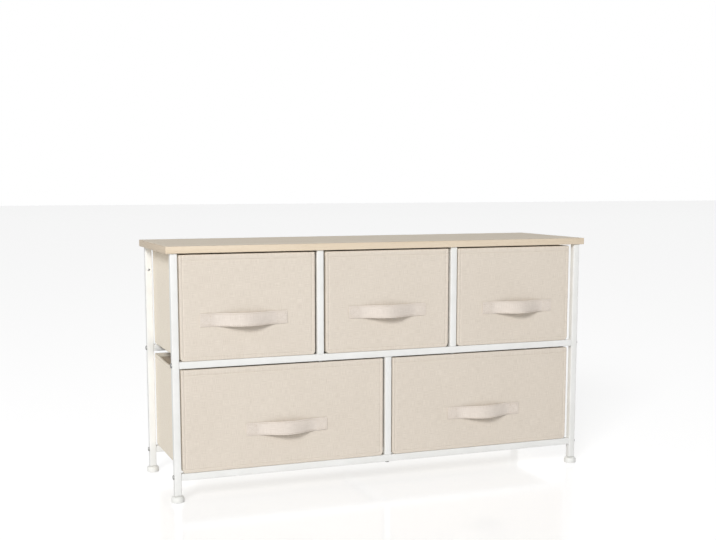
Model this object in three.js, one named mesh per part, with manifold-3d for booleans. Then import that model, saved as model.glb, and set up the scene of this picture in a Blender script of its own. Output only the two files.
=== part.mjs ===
// Fabric drawer dresser: a light wooden top on a bolted frame of square steel tube, with five
// open-topped cloth bins that stand on the rails and slide out to the front.
// Millimetres. +Z is up, the front looks along -Y, and +X is to the right seen from the front.

import * as THREE from 'three';
import * as BufferGeometryUtils from 'three/addons/utils/BufferGeometryUtils.js';
import Module from 'manifold-3d';

const wasm = await Module();
wasm.setup();

// Whole dresser
const overallHeight = 545;

// Wooden top
const slabWidth = 1000;
const slabDepth = 300;
const slabThickness = 15;
const slabBevel = 1;
const sideOverhang = 10;
const frontOverhang = 4;

// Steel tube of the frame
const tubeSize = 15;
const tubeWall = 1.2;
const tubeCornerRadius = 1.5;
const endPlate = 3;

// Heights of the undersides of the two rail levels above the floor
const lowRailBottom = 46.5;
const midRailBottom = 287;

// Pins and pegs that locate the tubes
const pinRadius = 2.5;
const pinLength = 6;
const pegRadius = 4;
const pegLength = 3;
const anchorHoleRadius = 2.6;
const anchorHoleDrop = 53.5;

// Button-head bolts
const boltRadius = 3;
const boltReach = 7;
const boltHeadRadius = 5;
const boltHeadHeight = 2.4;
const boltHeadRim = 0.8;
const boltSocketRadius = 1.8;
const boltSocketDepth = 1.2;

// Studs between the posts and the top
const studRadius = 3;
const studInTop = 9;
const studInPost = 10;

// Levelling feet and the plugs that take them
const footRadius = 14;
const footHeight = 13;
const footTopRadius = 10.8;
const footShoulder = 4;
const footBottomChamfer = 1.2;
const footStudRadius = 4;
const footStudLength = 22;
const plugDepth = 16;
const plugFlange = 1.5;

// Cloth bins
const binRecess = 1.5;
const binRearInset = 6.5;
const binTopGap = 3.2;
const binSideGap = 5.3;
const clothThickness = 2.5;
const frontThickness = 5;
const binCornerRadius = 6;
const sideRimSag = 5;
const rearRimSag = 3;

// Loose board on the floor of each bin
const boardThickness = 3;
const boardGap = 3;

// Strap handles
const handleLength = 185;
const strapWidth = 28;
const strapThickness = 2.4;
const strapBow = 17;
const tabLength = 24;
const handleDrop = 28;

// Clearances
const seatGap = 0.3;
const drillGap = 0.3;
const overrun = 2;

// Where each bin stands in its bay, as shares of the side gap, from left to right
const upperShiftShares = [-0.2, 0, -0.35];
const lowerShiftShares = [-0.25, -0.35];

// Where each handle is sewn, as shares of its length from the middle of its bin, from left to right
const upperHandleShares = [-0.035, 0.01, 0.03];
const lowerHandleShares = [0.035, 0.03];

// How much less a strap bows at its upper edge, and more at its lower edge, than in its middle
const strapLeanShare = 0.3;

// Counts of faces
const cornerSteps = 2;
const roundSteps = 12;
const footSteps = 24;
const sagSteps = 12;
const strapSteps = 28;

// Levels and places that follow from the sizes
const slabUnderside = overallHeight - slabThickness;
const lowRailTop = lowRailBottom + tubeSize;
const midRailTop = midRailBottom + tubeSize;
const lowRailCentre = lowRailBottom + tubeSize / 2;
const midRailCentre = midRailBottom + tubeSize / 2;
const postBottom = footHeight + seatGap + plugFlange + seatGap;
const postTop = slabUnderside - seatGap;
const postX = slabWidth / 2 - sideOverhang - tubeSize / 2;
const postY = slabDepth / 2 - frontOverhang - tubeSize / 2;
const railLength = 2 * postX - tubeSize - 2 * seatGap;
const tieLength = 2 * postY - tubeSize - 2 * seatGap;
const innerWidth = 2 * postX - tubeSize;
const upperBayWidth = (innerWidth - 2 * tubeSize) / 3;
const lowerBayWidth = (innerWidth - tubeSize) / 2;
const upperDividerX = (upperBayWidth + tubeSize) / 2;
const binFrontY = -(slabDepth / 2 - frontOverhang) + binRecess;
const binDepth = slabDepth / 2 - frontOverhang - binRearInset - binFrontY;
const upperBinHeight = slabUnderside - midRailTop - seatGap - binTopGap;
const lowerBinHeight = midRailBottom - lowRailTop - seatGap - binTopGap;
const boltHoleRadius = boltRadius + drillGap;
const rearReach = Math.max(slabDepth / 2, postY + footRadius);
const strapReach = strapBow * (1 + strapLeanShare) + strapThickness;
const frontReach = Math.max(rearReach, seatGap + strapReach - binFrontY);

// Materials, one for each kind of stuff
const finishes = {
  top: { color: 0xc9bda9, roughness: 0.55, metalness: 0 },
  frame: { color: 0xf2f1ee, roughness: 0.4, metalness: 0.1 },
  bolt: { color: 0x6d6c69, roughness: 0.35, metalness: 0.8 },
  plug: { color: 0xe9e7e2, roughness: 0.5, metalness: 0 },
  foot: { color: 0xe3e1dc, roughness: 0.55, metalness: 0 },
  cloth: { color: 0xded3c4, roughness: 0.95, metalness: 0 },
  board: { color: 0xb9a88f, roughness: 0.8, metalness: 0 },
  strap: { color: 0xd8ccbc, roughness: 0.95, metalness: 0 },
};

// Solid of a closed geometry, for cutting and joining
function solidOf(geometry) {
  const plain = new THREE.BufferGeometry();
  plain.setAttribute('position', geometry.getAttribute('position'));
  if (geometry.index) plain.setIndex(geometry.index);
  const merged = BufferGeometryUtils.mergeVertices(plain);
  const mesh = new wasm.Mesh({
    numProp: 3,
    vertProperties: new Float32Array(merged.getAttribute('position').array),
    triVerts: new Uint32Array(merged.index.array),
  });
  return new wasm.Manifold(mesh);
}

// Geometry of a solid, with one normal for each face
function geometryOf(solid) {
  const mesh = solid.getMesh();
  const geometry = new THREE.BufferGeometry();
  geometry.setAttribute('position', new THREE.BufferAttribute(new Float32Array(mesh.vertProperties), 3));
  geometry.setIndex(new THREE.BufferAttribute(new Uint32Array(mesh.triVerts), 1));
  const flat = geometry.toNonIndexed();
  flat.computeVertexNormals();
  return flat;
}

// Named piece with a material of its own
function piece(name, geometry, finish, x, y, z) {
  const mesh = new THREE.Mesh(geometry, new THREE.MeshStandardMaterial(finishes[finish]));
  mesh.name = name;
  mesh.position.set(x, y, z);
  return mesh;
}

// Outline of a rectangle with rounded corners, centred on the origin
function roundedRectangle(width, height, radius) {
  const shape = new THREE.Shape();
  const right = width / 2 - radius;
  const top = height / 2 - radius;
  shape.absarc(right, top, radius, 0, Math.PI / 2);
  shape.absarc(-right, top, radius, Math.PI / 2, Math.PI);
  shape.absarc(-right, -top, radius, Math.PI, 1.5 * Math.PI);
  shape.absarc(right, -top, radius, 1.5 * Math.PI, 2 * Math.PI);
  shape.closePath();
  return shape;
}

// Prism of an outline that starts at z = 0 and rises to the given height
function prism(shape, height, curveSegments = cornerSteps) {
  return new THREE.ExtrudeGeometry(shape, { depth: height, bevelEnabled: false, curveSegments });
}

// Turns a geometry that runs along Z so that it runs along the named axis
function turnTo(axis, geometry) {
  if (axis === 'x') geometry.rotateY(Math.PI / 2);
  if (axis === 'y') geometry.rotateX(-Math.PI / 2);
  return geometry;
}

// Square bar with rounded corners between two places on an axis
function bar(axis, size, radius, from, to) {
  const geometry = prism(roundedRectangle(size, size, radius), to - from);
  geometry.translate(0, 0, from);
  return solidOf(turnTo(axis, geometry));
}

// Round rod between two places on an axis, moved aside by an offset
function rod(axis, radius, from, to, offset = [0, 0, 0]) {
  const geometry = new THREE.CylinderGeometry(radius, radius, to - from, roundSteps);
  geometry.rotateX(Math.PI / 2);
  geometry.translate(0, 0, (from + to) / 2);
  turnTo(axis, geometry);
  geometry.translate(...offset);
  return solidOf(geometry);
}

// Square tube centred on the origin, plated at both ends, or open at its low end
function squareTube(axis, length, openAtStart = false) {
  const half = length / 2;
  const boreStart = openAtStart ? -half - overrun : endPlate - half;
  const outside = bar(axis, tubeSize, tubeCornerRadius, -half, half);
  const boreSize = tubeSize - 2 * tubeWall;
  const boreEnd = half - endPlate;
  const bore = new THREE.BoxGeometry(boreSize, boreSize, boreEnd - boreStart);
  bore.translate(0, 0, (boreStart + boreEnd) / 2);
  return outside.subtract(solidOf(turnTo(axis, bore)));
}

// Wooden top with blind holes in its underside for the studs and the divider pins
function topSlab() {
  const shape = new THREE.Shape();
  const right = slabWidth / 2 - slabBevel;
  const back = slabDepth / 2 - slabBevel;
  shape.moveTo(-right, -back);
  shape.lineTo(right, -back);
  shape.lineTo(right, back);
  shape.lineTo(-right, back);
  shape.closePath();
  const geometry = new THREE.ExtrudeGeometry(shape, {
    depth: slabThickness - 2 * slabBevel,
    bevelThickness: slabBevel,
    bevelSize: slabBevel,
    bevelSegments: 2,
  });
  geometry.translate(0, 0, slabBevel);
  let slab = solidOf(geometry);
  for (const side of [-1, 1]) {
    for (const end of [-1, 1]) {
      const postPlace = [side * postX, end * postY, 0];
      const pinPlace = [side * upperDividerX, end * postY, 0];
      slab = slab.subtract(rod('z', studRadius + drillGap, -overrun, studInTop + drillGap, postPlace));
      slab = slab.subtract(rod('z', pinRadius + drillGap, -overrun, pinLength + drillGap, pinPlace));
    }
  }
  return piece('tabletop', geometryOf(slab), 'top', 0, 0, slabUnderside);
}

// Corner post, open at the foot, plated at the top, drilled for its stud and two bolts
function post(name, side, end) {
  const length = postTop - postBottom;
  const centre = (postTop + postBottom) / 2;
  let tube = squareTube('z', length, true);
  for (const level of [lowRailCentre, midRailCentre]) {
    tube = tube.subtract(rod('x', boltHoleRadius, -tubeSize, tubeSize, [0, 0, level - centre]));
  }
  tube = tube.subtract(rod('z', studRadius + drillGap, length / 2 - studInPost, length / 2 + overrun));
  if (end > 0) {
    const anchorPlace = [0, 0, slabUnderside - anchorHoleDrop - centre];
    tube = tube.subtract(rod('y', anchorHoleRadius, -tubeSize, tubeSize, anchorPlace));
  }
  return piece(name, geometryOf(tube), 'frame', side * postX, end * postY, centre);
}

// Rail along X between two posts; its end plates take the bolts of the posts
function rail(name, end, level, boltPlaces, pinPlaces, pegPlaces) {
  const half = tubeSize / 2;
  let tube = squareTube('x', railLength);
  tube = tube.subtract(rod('x', boltHoleRadius, -railLength, railLength));
  for (const x of boltPlaces) {
    tube = tube.subtract(rod('z', boltHoleRadius, -tubeSize, tubeSize, [x, 0, 0]));
  }
  for (const x of pinPlaces) {
    tube = tube.subtract(rod('z', pinRadius + drillGap, -half - overrun, 0, [x, 0, 0]));
  }
  for (const x of pegPlaces) {
    const from = end > 0 ? -half - overrun : tubeWall;
    const to = end > 0 ? -tubeWall : half + overrun;
    tube = tube.subtract(rod('y', pegRadius + drillGap, from, to, [x, 0, 0]));
  }
  return piece(name, geometryOf(tube), 'frame', 0, end * postY, level);
}

// Bar from the front rail to the rear rail, with a peg on each end
function tie(name, x, level) {
  const half = tieLength / 2;
  const reach = half + seatGap + pegLength;
  let tube = squareTube('y', tieLength);
  tube = tube.add(rod('y', pegRadius, half - endPlate, reach));
  tube = tube.add(rod('y', pegRadius, -reach, endPlate - half));
  tube = tube.subtract(rod('y', pinRadius, -reach - overrun, reach + overrun));
  return piece(name, geometryOf(tube), 'frame', x, 0, level);
}

// Upright between two bays, with a pin on top and a bolt hole in its foot
function divider(name, x, end, low, high) {
  const length = high - low - 2 * seatGap;
  const half = length / 2;
  let tube = squareTube('z', length);
  tube = tube.subtract(rod('z', boltHoleRadius, -half - overrun, 0));
  tube = tube.add(rod('z', pinRadius, half - endPlate, half + seatGap + pinLength));
  return piece(name, geometryOf(tube), 'frame', x, end * postY, (low + high) / 2);
}

// Button-head bolt along Z: the head seats at z = 0 and the shank points up
function boltGeometry() {
  const shank = tubeSize + seatGap + boltReach;
  const points = [
    new THREE.Vector2(0, -boltHeadHeight),
    new THREE.Vector2(boltHeadRadius - boltHeadRim * 2, -boltHeadHeight),
    new THREE.Vector2(boltHeadRadius - boltHeadRim / 2, -boltHeadHeight / 2),
    new THREE.Vector2(boltHeadRadius, -boltHeadRim / 2),
    new THREE.Vector2(boltHeadRadius, 0),
    new THREE.Vector2(boltRadius, 0),
    new THREE.Vector2(boltRadius, shank),
    new THREE.Vector2(0, shank),
  ];
  const geometry = new THREE.LatheGeometry(points, roundSteps);
  geometry.rotateX(Math.PI / 2);
  const socketBottom = boltSocketDepth - boltHeadHeight;
  const socketLength = boltSocketDepth + overrun;
  const socketCut = new THREE.CylinderGeometry(boltSocketRadius, boltSocketRadius, socketLength, 6);
  socketCut.rotateX(Math.PI / 2);
  socketCut.translate(0, 0, socketBottom - socketLength / 2);
  return geometryOf(solidOf(geometry).subtract(solidOf(socketCut)));
}

// Bolt through a post into the end of a rail
function sideBolt(name, side, end, level) {
  const seat = side * (postX + tubeSize / 2 + seatGap);
  const mesh = piece(name, boltGeometry(), 'bolt', seat, end * postY, level);
  mesh.rotation.y = -side * Math.PI / 2;
  return mesh;
}

// Bolt up through a rail into the foot of a divider
function dividerBolt(name, x, end, underside) {
  return piece(name, boltGeometry(), 'bolt', x, end * postY, underside - seatGap);
}

// Stud that is screwed into the top and into the plated end of a post
function topStud(name, side, end) {
  const stud = new THREE.CylinderGeometry(studRadius, studRadius, studInPost + studInTop, roundSteps);
  stud.rotateX(Math.PI / 2);
  const centre = slabUnderside + (studInTop - studInPost) / 2;
  return piece(name, stud, 'bolt', side * postX, end * postY, centre);
}

// Plug in the open end of a post, with a flange under the tube and a threaded bore
function footPlug(name, side, end) {
  const inside = tubeSize - 2 * tubeWall - 2 * seatGap;
  const flangeTop = plugFlange;
  let plug = bar('z', tubeSize, tubeCornerRadius, 0, flangeTop);
  plug = plug.add(bar('z', inside, tubeWall, flangeTop - plugFlange / 2, flangeTop + plugDepth));
  plug = plug.subtract(rod('z', footStudRadius + drillGap, -overrun, plugDepth + plugFlange + overrun));
  return piece(name, geometryOf(plug), 'plug', side * postX, end * postY, footHeight + seatGap);
}

// Round levelling foot with its threaded stud
function foot(name, side, end) {
  const points = [
    new THREE.Vector2(0, 0),
    new THREE.Vector2(footRadius - footBottomChamfer, 0),
    new THREE.Vector2(footRadius, footBottomChamfer),
    new THREE.Vector2(footRadius, footHeight - footShoulder),
    new THREE.Vector2((footRadius * 2 + footTopRadius) / 3, footHeight - footShoulder / 3),
    new THREE.Vector2(footTopRadius, footHeight),
    new THREE.Vector2(footStudRadius, footHeight),
    new THREE.Vector2(footStudRadius, footHeight + footStudLength),
    new THREE.Vector2(0, footHeight + footStudLength),
  ];
  const geometry = new THREE.LatheGeometry(points, footSteps);
  geometry.rotateX(Math.PI / 2);
  return piece(name, geometryOf(solidOf(geometry)), 'foot', side * postX, end * postY, 0);
}

// Drop of a cloth rim at a share of its length, none at the ends and full in the middle
function rimDrop(sag, share) {
  return sag * Math.sin(Math.PI * share) ** 2;
}

// Cutter above a sagging rim, drawn as run against height and one unit of run from end to end
function rimCutter(run, sag, across) {
  const shape = new THREE.Shape();
  shape.moveTo(0, overrun);
  for (let step = 0; step <= sagSteps; step += 1) {
    shape.lineTo(run * step / sagSteps, -rimDrop(sag, step / sagSteps));
  }
  shape.lineTo(run, overrun);
  shape.closePath();
  const geometry = prism(shape, across);
  geometry.rotateX(Math.PI / 2);
  geometry.translate(-run / 2, across / 2, 0);
  return geometry;
}

// Box with rounded upright edges and with its two lower edges from front to rear rounded too
function tub(width, depth, height, radius) {
  const plan = prism(roundedRectangle(width, depth, radius), height);
  const profile = prism(roundedRectangle(width, height * 2, radius), depth);
  profile.rotateX(Math.PI / 2);
  profile.translate(0, depth / 2, height);
  return solidOf(plan).intersect(solidOf(profile));
}

// Open-topped bin of stiff cloth, with a boarded front and sagging rims
function binGeometry(width, height) {
  const outside = tub(width, binDepth, height, binCornerRadius);
  const pocketWidth = width - 2 * clothThickness;
  const pocketDepth = binDepth - frontThickness - clothThickness;
  const pocketPlace = [0, (frontThickness - clothThickness) / 2, clothThickness];
  const pocketRadius = binCornerRadius - clothThickness;
  const pocket = tub(pocketWidth, pocketDepth, height, pocketRadius).translate(pocketPlace);
  const sideCut = rimCutter(pocketDepth, sideRimSag, width + 2 * overrun);
  sideCut.rotateZ(Math.PI / 2);
  sideCut.translate(0, (frontThickness - clothThickness) / 2, height);
  const rearCut = rimCutter(pocketWidth, rearRimSag, clothThickness + 2 * overrun);
  rearCut.translate(0, (binDepth - clothThickness) / 2, height);
  const bin = outside.subtract(pocket).subtract(solidOf(sideCut)).subtract(solidOf(rearCut));
  return geometryOf(bin);
}

// Loose stiff board that lies on the floor of a bin
function boardGeometry(width) {
  const boardWidth = width - 2 * clothThickness - 2 * boardGap;
  const boardDepth = binDepth - frontThickness - clothThickness - 2 * boardGap;
  return prism(roundedRectangle(boardWidth, boardDepth, binCornerRadius - clothThickness), boardThickness);
}

// How far the strap's middle line stands off the front at a share of its bowed length
function strapStandoff(share) {
  const inside = Math.min(1, Math.max(0, share));
  return strapBow * (1 - Math.cos(2 * Math.PI * inside)) / 2;
}

// Leans the bowed strap, so that its lower edge stands further off the front than its upper edge
function leanStrap(geometry, bowLength) {
  const place = geometry.getAttribute('position');
  for (let index = 0; index < place.count; index += 1) {
    const rise = place.getZ(index) / (strapWidth / 2);
    const standoff = strapStandoff(place.getX(index) / bowLength + 1 / 2);
    place.setY(index, place.getY(index) + strapLeanShare * rise * standoff);
  }
}

// Strap with a flat tab at each end and a finger gap behind its bowed middle
function strapGeometry() {
  const bowLength = handleLength - 2 * tabLength;
  const back = [new THREE.Vector2(-handleLength / 2, 0)];
  for (let step = 0; step <= strapSteps; step += 1) {
    const share = step / strapSteps;
    back.push(new THREE.Vector2(bowLength * (share - 1 / 2), -strapStandoff(share)));
  }
  back.push(new THREE.Vector2(handleLength / 2, 0));
  const face = back.map((point) => new THREE.Vector2(point.x, point.y - strapThickness)).reverse();
  const geometry = prism(new THREE.Shape([...back, ...face]), strapWidth);
  geometry.translate(0, 0, -strapWidth / 2);
  leanStrap(geometry, bowLength);
  return geometryOf(solidOf(geometry));
}

// Bin, board and handle of one drawer
function drawer(name, bay, place) {
  const width = bay.width - 2 * binSideGap;
  const group = new THREE.Group();
  group.position.set(place.centre + place.shiftShare * binSideGap, binFrontY, bay.floor + seatGap);
  const boardY = (binDepth + frontThickness - clothThickness) / 2;
  const handleX = place.handleShare * handleLength;
  const handleZ = bay.binHeight / 2 - handleDrop;
  group.add(piece(`${name}_bin`, binGeometry(width, bay.binHeight), 'cloth', 0, binDepth / 2, 0));
  group.add(piece(`${name}_board`, boardGeometry(width), 'board', 0, boardY, clothThickness + seatGap));
  group.add(piece(`${name}_handle`, strapGeometry(), 'strap', handleX, -seatGap, handleZ));
  return group;
}

// The dresser stands on z = 0, with the middle of its whole depth, handles included, at y = 0
const dresser = new THREE.Group();
dresser.position.y = (frontReach - rearReach) / 2;
dresser.add(topSlab());

const corners = [
  ['front_left', -1, -1],
  ['front_right', 1, -1],
  ['rear_left', -1, 1],
  ['rear_right', 1, 1],
];
for (const [place, side, end] of corners) {
  dresser.add(post(`post_${place}`, side, end));
  dresser.add(topStud(`top_stud_${place}`, side, end));
  dresser.add(footPlug(`foot_plug_${place}`, side, end));
  dresser.add(foot(`foot_${place}`, side, end));
  dresser.add(sideBolt(`side_bolt_mid_${place}`, side, end, midRailCentre));
  dresser.add(sideBolt(`side_bolt_low_${place}`, side, end, lowRailCentre));
}

for (const [row, end] of [['front', -1], ['rear', 1]]) {
  const sides = [-upperDividerX, upperDividerX];
  dresser.add(rail(`mid_rail_${row}`, end, midRailCentre, sides, [0], sides));
  dresser.add(rail(`low_rail_${row}`, end, lowRailCentre, [0], [], [0]));
  dresser.add(divider(`upper_divider_${row}_left`, -upperDividerX, end, midRailTop, slabUnderside));
  dresser.add(divider(`upper_divider_${row}_right`, upperDividerX, end, midRailTop, slabUnderside));
  dresser.add(divider(`lower_divider_${row}`, 0, end, lowRailTop, midRailBottom));
  dresser.add(dividerBolt(`mid_bolt_${row}_left`, -upperDividerX, end, midRailBottom));
  dresser.add(dividerBolt(`mid_bolt_${row}_right`, upperDividerX, end, midRailBottom));
  dresser.add(dividerBolt(`low_bolt_${row}`, 0, end, lowRailBottom));
}
dresser.add(tie('mid_tie_left', -upperDividerX, midRailCentre));
dresser.add(tie('mid_tie_right', upperDividerX, midRailCentre));
dresser.add(tie('low_tie', 0, lowRailCentre));

const upperBay = { width: upperBayWidth, floor: midRailTop, binHeight: upperBinHeight };
const lowerBay = { width: lowerBayWidth, floor: lowRailTop, binHeight: lowerBinHeight };
['left', 'middle', 'right'].forEach((side, index) => {
  const centre = (index - 1) * (upperBayWidth + tubeSize);
  const place = { centre, shiftShare: upperShiftShares[index], handleShare: upperHandleShares[index] };
  dresser.add(drawer(`upper_${side}`, upperBay, place));
});
['left', 'right'].forEach((side, index) => {
  const centre = (index - 1 / 2) * (lowerBayWidth + tubeSize);
  const place = { centre, shiftShare: lowerShiftShares[index], handleShare: lowerHandleShares[index] };
  dresser.add(drawer(`lower_${side}`, lowerBay, place));
});

export default dresser;
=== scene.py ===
"""Looks of the fabric drawer dresser: finishes, cloth bins, strap handles, tubes, bolts and feet.

Everything is in metres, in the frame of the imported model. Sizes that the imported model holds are
read from it; the rest are named values of the class that carries them.
"""

from __future__ import annotations
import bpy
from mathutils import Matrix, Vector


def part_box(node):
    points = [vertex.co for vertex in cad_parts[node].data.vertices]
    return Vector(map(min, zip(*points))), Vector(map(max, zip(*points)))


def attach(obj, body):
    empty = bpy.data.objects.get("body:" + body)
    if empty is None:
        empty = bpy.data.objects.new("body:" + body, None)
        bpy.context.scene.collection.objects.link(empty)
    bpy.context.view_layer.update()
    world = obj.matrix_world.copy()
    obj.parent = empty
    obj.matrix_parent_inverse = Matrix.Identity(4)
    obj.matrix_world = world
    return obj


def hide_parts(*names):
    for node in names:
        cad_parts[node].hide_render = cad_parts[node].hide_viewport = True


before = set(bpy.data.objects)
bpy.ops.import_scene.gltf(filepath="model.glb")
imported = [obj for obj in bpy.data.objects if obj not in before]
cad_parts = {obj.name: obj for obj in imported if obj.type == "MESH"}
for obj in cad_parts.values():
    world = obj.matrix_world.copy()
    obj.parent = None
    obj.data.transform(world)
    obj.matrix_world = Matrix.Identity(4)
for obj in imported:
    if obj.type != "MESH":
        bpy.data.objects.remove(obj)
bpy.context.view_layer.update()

import logging
import math
from dataclasses import dataclass
from enum import Enum
from functools import reduce
from typing import Callable, ClassVar, Sequence

import bpy
import numpy as np
from mathutils import Euler, Matrix, Vector, noise

LOG = logging.getLogger("dresser")
MM = 0.001
TOUCH = 0.1 * MM
UV_NAME = "cloth_lay"
DRAWERS = ("upper_left", "upper_middle", "upper_right", "lower_left", "lower_right")
CORNERS = ("front_left", "front_right", "rear_left", "rear_right")
ROWS = ("front", "rear")
LEVELS = ("mid", "low")
LEFT, RIGHT = Vector((-1, 0, 0)), Vector((1, 0, 0))
FRONT, REAR = Vector((0, -1, 0)), Vector((0, 1, 0))
WHITE = (1.0, 1.0, 1.0, 1.0)
COLOUR, NUMBER = "NodeSocketColor", "NodeSocketFloat"

Shade = tuple[int, int, int]
Pair = tuple[float, float]
Test = Callable[[Vector, Vector], bool]
Node = bpy.types.Node
Socket = bpy.types.NodeSocket
Piece = bpy.types.Object


class Axis(Enum):
    """The three axes of the frame, by their place in a vector."""

    X = 0
    Y = 1
    Z = 2


@dataclass(frozen=True)
class Fit:
    """How far one drawer, sewn by hand, strays from the common pattern."""

    left_edge: float = 0.0
    right_edge: float = 0.0
    strap_lift: float = 1.6 * MM
    strap_shift: float = 0.0
    strap_growth: float = 0.0
    bow_slip: float = 0.0


FITS = {
    "upper_left": Fit(
        left_edge=1.0 * MM,
        right_edge=1.6 * MM,
        strap_shift=-4.0 * MM,
        strap_growth=3.4 * MM,
        bow_slip=4.0 * MM,
    ),
    "upper_middle": Fit(strap_lift=5.0 * MM, strap_shift=-3.9 * MM),
    "upper_right": Fit(right_edge=-5.2 * MM, strap_growth=-2.2 * MM),
    "lower_left": Fit(left_edge=0.8 * MM, right_edge=1.6 * MM, strap_shift=-3.3 * MM),
    "lower_right": Fit(right_edge=-4.7 * MM, strap_shift=-4.0 * MM),
}


def linear(shade: Shade) -> tuple[float, ...]:
    """Turn a shade of 0 to 255 a channel into linear light of 0 to 1, with full cover."""
    shares = [channel / 255 for channel in shade]
    return (*(s / 12.92 if s <= 0.04045 else ((s + 0.055) / 1.055) ** 2.4 for s in shares), 1.0)


class Graph:
    """A node tree with short calls for adding and joining nodes."""

    def __init__(self, tree: bpy.types.NodeTree) -> None:
        """Hold the tree that the nodes go into."""
        self.tree = tree

    def fill(self, node: Node, inputs: dict) -> None:
        """Fill inputs of a node.

        Args:
            node: The node.
            inputs: Input names or places, each with a value or a socket to join.
        """
        for key, value in inputs.items():
            if isinstance(value, Socket):
                self.tree.links.new(value, node.inputs[key])
            else:
                node.inputs[key].default_value = value

    def add(self, kind: str, inputs: dict | None = None, **settings: object) -> Node:
        """Add a node, set its properties and fill its inputs.

        Args:
            kind: Blender's identifier of the node type.
            inputs: Input names or places, each with a value or a socket to join.
            settings: Properties of the node.

        Returns:
            The new node.
        """
        made = self.tree.nodes.new(kind)
        for key, value in settings.items():
            setattr(made, key, value)
        self.fill(made, inputs or {})
        return made

    def maths(self, operation: str, *values: object) -> Socket:
        """Add a Math node on the given values or sockets and return its output."""
        return self.add("ShaderNodeMath", dict(enumerate(values)), operation=operation).outputs[0]

    def weighted(self, *terms: tuple[Socket, float]) -> Socket:
        """Return the sum of some values, each times its weight."""
        parts = [self.maths("MULTIPLY", value, weight) for value, weight in terms]
        return reduce(lambda total, part: self.maths("ADD", total, part), parts)

    def noise(self, vector: Socket, scale: float | Socket, detail: float = 2.0) -> Socket:
        """Add a Noise texture on a vector and return its factor, about 0.5 on average."""
        made = self.add("ShaderNodeTexNoise", {"Vector": vector, "Scale": scale, "Detail": detail})
        return made.outputs["Fac"]

    def streaks(self, vector: Socket, scales: tuple[float, float], detail: float) -> Socket:
        """Return noise with a scale of its own along X and along Y."""
        made = self.add("ShaderNodeVectorMath", {0: vector, 1: (*scales, 1.0)}, operation="MULTIPLY")
        return self.noise(made.outputs[0], 1.0, detail)

    def ranged(self, value: Socket, given: Pair, wanted: Pair = (0.0, 1.0)) -> Socket:
        """Carry a value from its given range to a wanted one, held inside it, and return it."""
        ends = dict(zip(("From Min", "From Max", "To Min", "To Max"), (*given, *wanted)))
        return self.add("ShaderNodeMapRange", {"Value": value, **ends}).outputs[0]

    def clamped(self, value: Socket) -> Socket:
        """Hold a value between 0 and 1 and return it."""
        return self.add("ShaderNodeClamp", {0: value}).outputs[0]

    def mixed(self, share: Socket, first: Socket, second: Socket) -> Socket:
        """Mix two colours by a share and return the result."""
        return self.add("ShaderNodeMix", {0: share, 6: first, 7: second}, data_type="RGBA").outputs[2]


@dataclass(frozen=True)
class Pattern:
    """A surface pattern that finishes share, as a node group with named sockets."""

    name: ClassVar[str]
    inputs: ClassVar[dict]
    outputs: ClassVar[dict] = {"Colour": COLOUR, "Roughness": NUMBER, "Height": NUMBER}

    def draw(self, graph: Graph, given: Node) -> dict:
        """Draw the pattern from the sockets of its group's input node, one socket for each output."""
        raise NotImplementedError

    def group(self) -> bpy.types.NodeTree:
        """Return the pattern's node group, made on first use.

        Returns:
            The group.
        """
        kept = bpy.data.node_groups.get(self.name)
        if kept:
            return kept
        group = bpy.data.node_groups.new(self.name, "ShaderNodeTree")
        for label, kind in {"Vector": "NodeSocketVector", **self.inputs}.items():
            group.interface.new_socket(name=label, in_out="INPUT", socket_type=kind)
        for label, kind in self.outputs.items():
            group.interface.new_socket(name=label, in_out="OUTPUT", socket_type=kind)
        graph = Graph(group)
        given = graph.add("NodeGroupInput")
        graph.add("NodeGroupOutput", self.draw(graph, given))
        return group


@dataclass(frozen=True)
class LinenWeave(Pattern):
    """Linen: threads over and under, uneven yarn and soft clouding, on the cloth's own lay."""

    name: ClassVar[str] = "linen_weave"
    inputs: ClassVar[dict] = {"Pitch": NUMBER, "Light": COLOUR, "Dark": COLOUR}
    wobble_scale: float = 90.0
    wobble: float = 1.1
    yarn_run: float = 60.0
    yarn_gauge: float = 1700.0
    cloud_scale: float = 9.0
    yarn_relief: float = 1.3
    knot_relief: float = 0.22
    yarn_tone: float = 1.1
    knot_tone: float = 0.16
    cloud_tone: float = 0.3
    roughness: float = 0.93
    yarn_gloss: float = 0.25

    def draw(self, graph: Graph, given: Node) -> dict:
        """Draw the weave in a graph.

        Args:
            graph: The group's graph.
            given: The group's input node; its vector is in metres.

        Returns:
            A socket for each output.
        """
        vector = given.outputs["Vector"]
        split = graph.add("ShaderNodeSeparateXYZ", {0: vector})
        wobble = graph.maths("MULTIPLY", graph.noise(vector, self.wobble_scale), self.wobble)
        waves = []
        for place in (split.outputs["X"], split.outputs["Y"]):
            turns = graph.maths("ADD", graph.maths("DIVIDE", place, given.outputs["Pitch"]), wobble)
            waves.append(graph.maths("SINE", graph.maths("MULTIPLY", turns, math.pi)))
        knots = graph.maths("MULTIPLY", *waves)
        across = graph.streaks(vector, (self.yarn_run, self.yarn_gauge), 0.0)
        along = graph.streaks(vector, (self.yarn_gauge, self.yarn_run), 0.0)
        yarn = graph.maths("SUBTRACT", graph.maths("ADD", across, along), 1.0)
        cloud = graph.maths("SUBTRACT", graph.noise(vector, self.cloud_scale), 0.5)
        tone = graph.weighted((yarn, self.yarn_tone), (knots, self.knot_tone), (cloud, self.cloud_tone))
        share = graph.clamped(graph.maths("ADD", tone, 0.5))
        gloss = graph.maths("MULTIPLY", yarn, self.yarn_gloss)
        return {
            "Colour": graph.mixed(share, given.outputs["Dark"], given.outputs["Light"]),
            "Roughness": graph.maths("SUBTRACT", self.roughness, gloss),
            "Height": graph.weighted((knots, self.knot_relief), (yarn, self.yarn_relief)),
        }


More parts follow.
